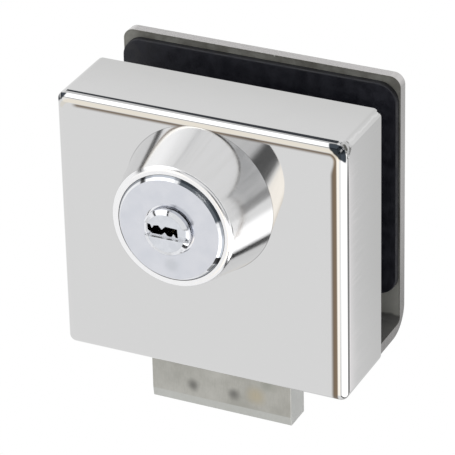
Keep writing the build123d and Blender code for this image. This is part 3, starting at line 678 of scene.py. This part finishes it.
# Painted shade in the fold of the film
FOLD_PAINTED_SHADE = gray(0.10)
# Brown margin: wear, and painted shade of the chamfer
MARGIN_WEAR_AND_SHADE = (0.11, 0.095, 0.075, 1)
FLECK_PALE = (0.75, 0.75, 0.72, 1)


def film_on_plate(g, y, z, from_side):
    """1 on the side of the plate towards the glass, found by the distance from the inner bend's axis."""
    behind = g.excess(y, PLATE_FRONT - INNER_BEND)
    below = g.math("MAXIMUM", g.math("SUBTRACT", PLATE_LOW.z + PLATE_THICKNESS + INNER_BEND, z), 0.0)
    inner = g.fade(g.hypot(behind, below), INNER_BEND + 0.03 * MM, INNER_BEND + 0.1 * MM)
    return g.product(inner, g.ramp(from_side, 0.01 * MM, 0.05 * MM))


def film_color(g, place, cloud, grain, z, from_side):
    """Olive film: paler low down, painted shade in the fold, a dark brown margin of wear and painted
    chamfer shade, with a few pale flecks.
    """
    color = g.mix(g.ramp(cloud, 0.35, 0.65), FILM_DARK, FILM_PALE)
    height = g.math("SUBTRACT", z, PLATE_LOW.z)
    low = g.ramp(height, LOW_FILM_HEIGHT, LOW_FILM_HEIGHT + 4 * MM, 0.7, 0.0)
    color = g.mix(low, color, FILM_LOW)
    # Painted shade in the fold near the bottom of the film
    fold_shade = g.math("ADD", height, g.swing(cloud, 3 * MM))
    fold_shade = g.ramp(fold_shade, FOLD_HEIGHT, FOLD_HEIGHT + 0.8 * MM, 0.8, 0.0)
    color = g.mix(fold_shade, color, FOLD_PAINTED_SHADE)
    # Dark brown along the top and sides: wear, and painted shade of the chamfer
    margin = g.math("MINIMUM", g.math("SUBTRACT", PLATE_HIGH.z, z), from_side)
    margin = g.math("ADD", margin, g.swing(grain, 0.8 * MM))
    color = g.mix(g.ramp(margin, 0.3 * MM, 0.6 * MM, 0.2, 0.0), color, MARGIN_WEAR_AND_SHADE)
    fleck = g.use(FLECKS, Place=place, Scale=230.0, Inner=0.05, Outer=0.09, Rarity=0.86)["Mask"]
    return g.mix(fleck, color, FLECK_PALE)


def plate_steel():
    """Ground plate: brushed outside, worn edges, and a dull olive film on the side towards the glass."""
    material, g, shader, place = new_material("plate_steel", (0.66, 0.64, 0.64, 1), 0.22)
    x, y, z = g.axes(place)
    cloud, grain = grain_of(g, place, (150.0, 4.0, 0.6), (BRUSHING, 3.0, 0.6))
    from_side = g.math("SUBTRACT", PLATE_HIGH.x, g.math("ABSOLUTE", x))
    bright = g.mix(g.ramp(grain, 0.3, 0.7), BRUSHED_DARK, BRUSHED_PALE)
    worn = g.mix(g.ramp(z, -45 * MM, 0.0), WORN_LOW, WORN_HIGH)
    bright = g.mix(g.fade(from_side, 0.05 * MM, 0.6 * MM), bright, worn)
    film = film_on_plate(g, y, z, from_side)
    color = g.mix(film, bright, film_color(g, place, cloud, grain, z, from_side))
    g.put(shader.inputs["Metallic"], g.math("SUBTRACT", 1.0, g.math("MULTIPLY", film, 0.7)))
    gloss = g.math("ADD", g.ramp(grain, 0.3, 0.7, 0.17, 0.27), g.math("MULTIPLY", film, 0.3))
    # No bump on the flange and round the bend
    flat_top = PLATE_LOW.z + FLAT_HEIGHT
    above_bend = g.ramp(z, flat_top, flat_top + 3 * MM)
    finish(g, shader, color, gloss, g.product(grain, above_bend), 0.01 * MM)
    return material


# Plug
PLUG_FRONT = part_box("plug")[0][1]
PLUG_EDGE = 6.0 * MM
PLUG_BEVEL = 0.4 * MM
PLUG_RING = 1.2 * MM
CHANNEL_LOW = -1.6 * MM
CHANNEL_HIGH = 2.0 * MM
PLUG_DARK = (0.64, 0.66, 0.70, 1)
PLUG_PALE = (0.70, 0.72, 0.76, 1)
PLUG_RING_BRIGHT = (0.84, 0.85, 0.88, 1)
# The channel walls are painted near white as a highlight
CHANNEL_PAINTED_HIGHLIGHT = (0.93, 0.94, 0.96, 1)


def plug_nickel():
    """Bright plug: cloudy face, dull walls in the channel across it painted near white as a highlight, and
    a bevel round it.
    """
    material, g, shader, place = new_material("plug_nickel", PLUG_RING_BRIGHT, 0.07)
    x, y, z = g.axes(place)
    cloud, fine = grain_of(g, place, (400.0, 4.0, 0.6), (even(2500.0), 2.0, 0.5))
    depth = g.band(y, PLUG_FRONT + 0.1 * MM, PLUG_FRONT + 1.0 * MM, 0.05 * MM)
    walls = g.product(depth, g.band(z, CHANNEL_LOW, CHANNEL_HIGH, 0.05 * MM))
    past = g.excess(g.hypot(x, z), PLUG_EDGE - PLUG_RING)
    color = g.mix(g.ramp(cloud, 0.35, 0.65), PLUG_DARK, PLUG_PALE)
    color = g.mix(g.ramp(past, 0.0, 0.1 * MM), color, PLUG_RING_BRIGHT)
    # Painted highlight on the channel walls
    color = g.mix(walls, color, CHANNEL_PAINTED_HIGHLIGHT)
    gloss = g.math("ADD", g.ramp(cloud, 0.3, 0.7, 0.05, 0.1), g.math("MULTIPLY", walls, 0.3))
    # The bevel of the edge reaches further in over the face
    drop = g.math("MINIMUM", past, PLUG_RING - PLUG_BEVEL)
    height = g.math("SUBTRACT", g.math("MULTIPLY", fine, 0.003 * MM), drop)
    finish(g, shader, color, gloss, height)
    return material


# Hidden metals: pale and dark colour, roughness and its spread, bumps per metre, depth of the grain
ZINC_CASTING = (0.42, 0.43, 0.44, 1), (0.33, 0.34, 0.35, 1), 0.5, 0.1, 220.0, 0.05 * MM
ZINC_PLATE = (0.62, 0.63, 0.66, 1), (0.50, 0.52, 0.55, 1), 0.3, 0.08, 350.0, 0.02 * MM
BLACK_OXIDE = (0.06, 0.06, 0.065, 1), (0.035, 0.035, 0.04, 1), 0.4, 0.1, 350.0, 0.02 * MM
TURNED_BRASS = (0.72, 0.55, 0.25, 1), (0.60, 0.44, 0.18, 1), 0.25, 0.08, 500.0, 0.01 * MM
SPRING_WIRE = (0.5, 0.5, 0.5, 1), (0.38, 0.37, 0.36, 1), 0.25, 0.08, 500.0, 0.01 * MM
PINION_STEEL = (0.48, 0.48, 0.49, 1), (0.36, 0.36, 0.37, 1), 0.32, 0.08, 300.0, 0.02 * MM

PIECES_OF_MATERIAL = [
    (polished_steel(), ["front_cover"]),
    (plate_steel(), ["back_plate", "jaw_plate"]),
    (rubber(), ["back_pad", "jaw_pad"]),
    (chrome(), ["escutcheon"]),
    (satin_nickel(), ["cylinder_body"]),
    (plug_nickel(), ["plug"]),
    (bolt_steel(), ["deadbolt"]),
    (worn_metal("case_zinc", *ZINC_CASTING), ["lock_case", "case_lid"]),
    (
        worn_metal("zinc_steel", *ZINC_PLATE),
        ["escutcheon_nut", "flange_screws", "cover_screws", "lid_screws", "pinion_screw"],
    ),
    (worn_metal("black_steel", *BLACK_OXIDE), ["clamp_screws", "drag_screw", "cylinder_screw"]),
    (worn_metal("pin_brass", *TURNED_BRASS), ["key_pins", "driver_pins", "pin_caps"]),
    (worn_metal("spring_steel", *SPRING_WIRE), ["pin_springs", "drag_spring", "drag_ball", "plug_clip"]),
    (worn_metal("pinion_steel", *PINION_STEEL), ["drive_pinion", "pinion_washer", "stop_pin"]),
]
for material, pieces in PIECES_OF_MATERIAL:
    for name in pieces:
        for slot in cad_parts[name].material_slots:
            slot.material = material

# Studio
FLOOR_HEIGHT = -0.30
FLOOR_REACH = 6.0
LOCK_CENTRE = (0.0, -0.035, 0.0)
LIGHT_LEVEL = 0.75
FLOOR_TONE = 0.8
BACKDROP = gray(1.0)


def mix_shaders(g, factor, first, second):
    made = g.node("ShaderNodeMixShader")
    for socket, value in zip(made.inputs, (factor, first, second)):
        g.put(socket, value)
    return made.outputs[0]


def add_floor(studio):
    """A flat pale floor that polished metal sees as the studio's sheets and boxes."""
    signs = [(-1, -1), (1, -1), (1, 1), (-1, 1)]
    mesh = bpy.data.meshes.new("floor")
    corners = [(x * FLOOR_REACH, y * FLOOR_REACH, FLOOR_HEIGHT) for x, y in signs]
    mesh.from_pydata(corners, [], [(0, 1, 2, 3)])
    floor = bpy.data.objects.new("floor", mesh)
    bpy.context.scene.collection.objects.link(floor)
    material = bpy.data.materials.new("floor_white")
    material.use_nodes = True
    material.node_tree.nodes.clear()
    g = Graph(material.node_tree)
    path = g.node("ShaderNodeLightPath").outputs
    place = g.node("ShaderNodeTexCoord").outputs["Object"]
    seen = g.use(studio, Direction=g.vector("SUBTRACT", place, LOCK_CENTRE))
    mirror = g.node("ShaderNodeEmission", Color=seen["Color"]).outputs[0]
    white = g.node("ShaderNodeEmission", Color=BACKDROP).outputs[0]
    diffuse = g.node("ShaderNodeBsdfDiffuse", Color=gray(FLOOR_TONE)).outputs[0]
    # From below the floor is clear, so that the underside can be looked at
    clear = g.node("ShaderNodeBsdfTransparent").outputs[0]
    below = g.node("ShaderNodeNewGeometry").outputs["Backfacing"]
    surface = mix_shaders(g, path["Is Camera Ray"], diffuse, white)
    surface = mix_shaders(g, path["Is Glossy Ray"], surface, mirror)
    surface = mix_shaders(g, below, surface, clear)
    out = g.node("ShaderNodeOutputMaterial")
    g.put(out.inputs["Surface"], surface)
    mesh.materials.append(material)


def add_world(studio):
    """White for the camera, the studio for polished metal, and even soft light for the rest."""
    world = bpy.data.worlds.new("studio")
    bpy.context.scene.world = world
    world.use_nodes = True
    world.node_tree.nodes.clear()
    g = Graph(world.node_tree)
    path = g.node("ShaderNodeLightPath").outputs
    seen = g.use(studio, Direction=g.node("ShaderNodeTexCoord").outputs["Generated"])
    color = g.mix(path["Is Camera Ray"], gray(LIGHT_LEVEL), BACKDROP)
    color = g.mix(path["Is Glossy Ray"], color, seen["Color"])
    sky = g.node("ShaderNodeBackground", Color=color)
    out = g.node("ShaderNodeOutputWorld")
    g.put(out.inputs["Surface"], sky.outputs[0])


studio = studio_group()
add_camera()
add_floor(studio)
add_world(studio)

bpy.context.scene.view_settings.view_transform = "Standard"
